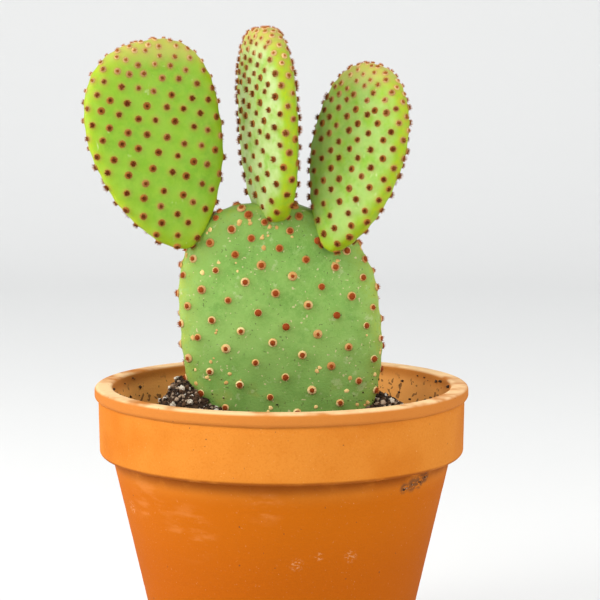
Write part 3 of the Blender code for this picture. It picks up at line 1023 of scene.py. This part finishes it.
old_felt = felt_finish(
    "old_areole_felt",
    pale=(0.88, 0.70, 0.34),
    deep=(0.68, 0.38, 0.12),
    fresh_felt=(0.50, 0.20, 0.05),
)
old_bristle = bristle_finish(
    "old_glochids",
    root=(0.26, 0.045, 0.007),
    tip=(0.52, 0.19, 0.04),
    fresh_root=(0.30, 0.055, 0.009),
)
young_trees = list(young_skin_trees.values())
seats = seat_areoles(old_pad_point, OLD_AREOLES, tip_crowding=1.5, rim_crowding=1.4)
seats = keep_open_seats(seats, young_trees)
swell(old_skin, seats, swelling=0.55 * MM, spread=3.6 * MM, halo=2.8 * MM, unevenness=0.5 * MM)
old_tree = BVHTree.FromBMesh(old_skin)
freshness = areole_freshness(old_skin, old_tree, seats, old_rise=0.3, new_rise=1.0, chanciness=0.3)
set_down(old_skin, "base_pad_skin", old_skin_finish(), "old_pad_skin", "base_pad")
cushions = plant_on_skin(varieties(old_cushion), seats, freshness, old_tree, AREOLE_SIZES, 0.1 * MM)
set_down(cushions, "base_pad_areoles", old_felt, "old_pad_skin")
bunches = plant_on_skin(varieties(old_bristles), seats, freshness, old_tree, AREOLE_SIZES, -0.25 * MM)
set_down(bunches, "base_pad_glochids", old_bristle, "old_pad_skin")

# Corky scars lie mostly under the young pads and low down on both faces, some of them in pairs.
scars = []
for low, high, count in ((0.66, 0.84, TOP_SCARS), (0.26, 0.52, LOW_SCARS)):
    for number in range(count):
        seat = old_pad_point(chance.uniform(low, high), chance.uniform(0, 2 * math.pi))
        scars.append(seat)
        if number % 3 == 0:
            scars.append(seat + Vector((chance.uniform(-1.8, 1.8), 0, chance.uniform(0.8, 1.6))) * MM)
scars = keep_open_seats(scars, young_trees)
none_fresh = [0.0] * len(scars)
scabs = plant_on_skin(varieties(corky_scar), scars, none_fresh, old_tree, (0.7, 1.8), 0.02 * MM)
set_down(scabs, "base_pad_scars", scar_finish(), "old_pad_skin")

# Watering has splashed crumbs of soil onto the pad's foot.
bm = new_crumbs()
for number in range(FOOT_CRUMBS):
    seat = old_pad_point(chance.uniform(0.25, 0.5), chance.uniform(0, 2 * math.pi))
    seat.z = soil_height(seat.x, seat.y) + 14 * MM * chance.random() ** 2
    place = old_tree.find_nearest(seat)[0]
    across = (0.4 + 1.1 * chance.random() ** 2) * MM
    drop_crumb(bm, place, across, chance.choice((0.0, 0.1, 0.2, 0.4, 0.7)))
set_down(bm, "foot_crumbs", potting_soil, "potting_soil")


# ---------------------------------------------------------------- stage, light and camera
# A plain pale paper floor that curves up behind, soft lights high on the left, low on the left and, weaker,
# on the right, and a pale sky all round.


def pale_stage():
    back, curve, half_width, wall_height = 2.2, 0.6, 4, 4
    outline = [(-half_width, 0), (back - curve, 0)]
    for degrees in range(10, 100, 10):
        angle = math.radians(degrees)
        outline.append((back - curve + curve * math.sin(angle), curve - curve * math.cos(angle)))
    outline.append((back, wall_height))
    bm = bmesh.new()
    points = [bm.verts.new((-half_width, y, z)) for y, z in outline]
    edges = [bm.edges.new(pair) for pair in zip(points, points[1:])]
    grown = bmesh.ops.extrude_edge_only(bm, edges=edges)["geom"]
    far_side = [item for item in grown if isinstance(item, bmesh.types.BMVert)]
    bmesh.ops.translate(bm, verts=far_side, vec=(2 * half_width, 0, 0))
    bmesh.ops.recalc_face_normals(bm, faces=bm.faces)
    mesh = bpy.data.meshes.new("pale_stage")
    bm.to_mesh(mesh)
    bm.free()
    mesh.shade_smooth()
    finish, shader = new_finish("stage_paper", 0.9, Specular_IOR_Level=0.1)
    shader.inputs["Base Color"].default_value = (0.80, 0.80, 0.79, 1)
    mesh.materials.append(finish)
    stage = bpy.data.objects.new("pale_stage", mesh)
    bpy.context.scene.collection.objects.link(stage)


def hang_light(name, place, aim, size, power, colour):
    lamp = bpy.data.lights.new(name, "AREA")
    lamp.shape = "DISK"
    lamp.size = size
    lamp.energy = power
    lamp.color = colour
    light = bpy.data.objects.new(name, lamp)
    light.location = place
    light.rotation_euler = (Vector(aim) - Vector(place)).to_track_quat("-Z", "Y").to_euler()
    bpy.context.scene.collection.objects.link(light)


pale_stage()
hang_light("key_light", (-0.85, -1.05, 1.3), (0, 0, 0.17), 0.55, 11, (1.0, 0.97, 0.92))
hang_light("side_light", (-1.3, -0.25, 0.55), (0, 0, 0.17), 0.7, 13, (1.0, 0.98, 0.95))
hang_light("fill_light", (1.1, -0.9, 0.85), (0, 0, 0.15), 0.9, 9, (1.0, 0.98, 0.95))

world = bpy.data.worlds.new("studio")
world.use_nodes = True
world.node_tree.nodes["Background"].inputs["Color"].default_value = (0.95, 0.97, 1.0, 1)
world.node_tree.nodes["Background"].inputs["Strength"].default_value = 0.88
bpy.context.scene.world = world

# The camera stands 0.86 m in front, just below the level of the plant's top, and looks a little down.
camera = bpy.data.objects.new("camera", bpy.data.cameras.new("camera"))
camera.location = (-0.0042, -0.8597, 0.2688)
camera.rotation_euler = (math.pi / 2 - 0.1158, 0, -0.01348)
camera.data.lens = 129.5
camera.data.sensor_width = 36
bpy.context.scene.collection.objects.link(camera)
bpy.context.scene.camera = camera
bpy.context.scene.view_settings.view_transform = "Standard"
